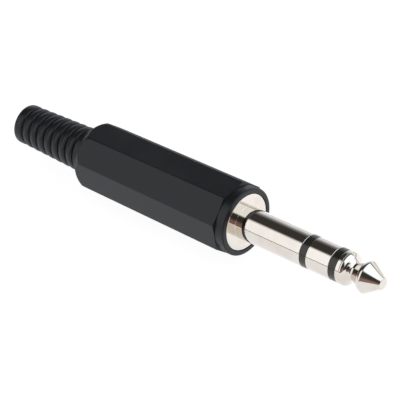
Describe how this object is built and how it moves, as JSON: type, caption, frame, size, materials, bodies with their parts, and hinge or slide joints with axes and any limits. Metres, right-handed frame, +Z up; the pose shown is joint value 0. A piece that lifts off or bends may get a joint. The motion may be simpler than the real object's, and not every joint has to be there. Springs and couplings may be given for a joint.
{
  "type": "audio jack plug",
  "caption": "Straight stereo audio jack plug with a plated contact finger, black insulating bands and a screw-on black moulded cover with flats and a ribbed strain relief.",
  "frame": {"origin": "on the plug's axis, in the front face of the flange that the socket's face meets", "axes": "+X along the contact finger, towards the tip; +Z up, square to two opposite flats of the cover; +Y to the left, seen from behind the cable end"},
  "size_m": [0.0869, 0.0132, 0.0132],
  "materials": {
    "cover_plastic": "black moulded plastic with a soft sheen",
    "nickel_plate": "bright nickel plate, turned and polished",
    "insulator": "smooth black insulating plastic",
    "washer": "brown pressed laminate",
    "tinned_sheet": "tin-plated sheet, stamped and bent"
  },
  "bodies": {
    "core": {"sleeve_body": "nickel_plate", "sleeve_insulator": "insulator", "ring_contact": "nickel_plate", "ring_insulator": "insulator", "tip_contact": "nickel_plate", "sleeve_terminal": "tinned_sheet", "front_washer": "washer", "ring_terminal": "tinned_sheet", "rear_washer": "washer", "tip_terminal": "tinned_sheet"},
    "cover": {"cover": "cover_plastic"}
  },
  "joints": [
    {"name": "cover_slide", "type": "slide", "parent": "core", "child": "cover", "axis": [-1, 0, 0], "range_m": [0, 0.038]}
  ]
}
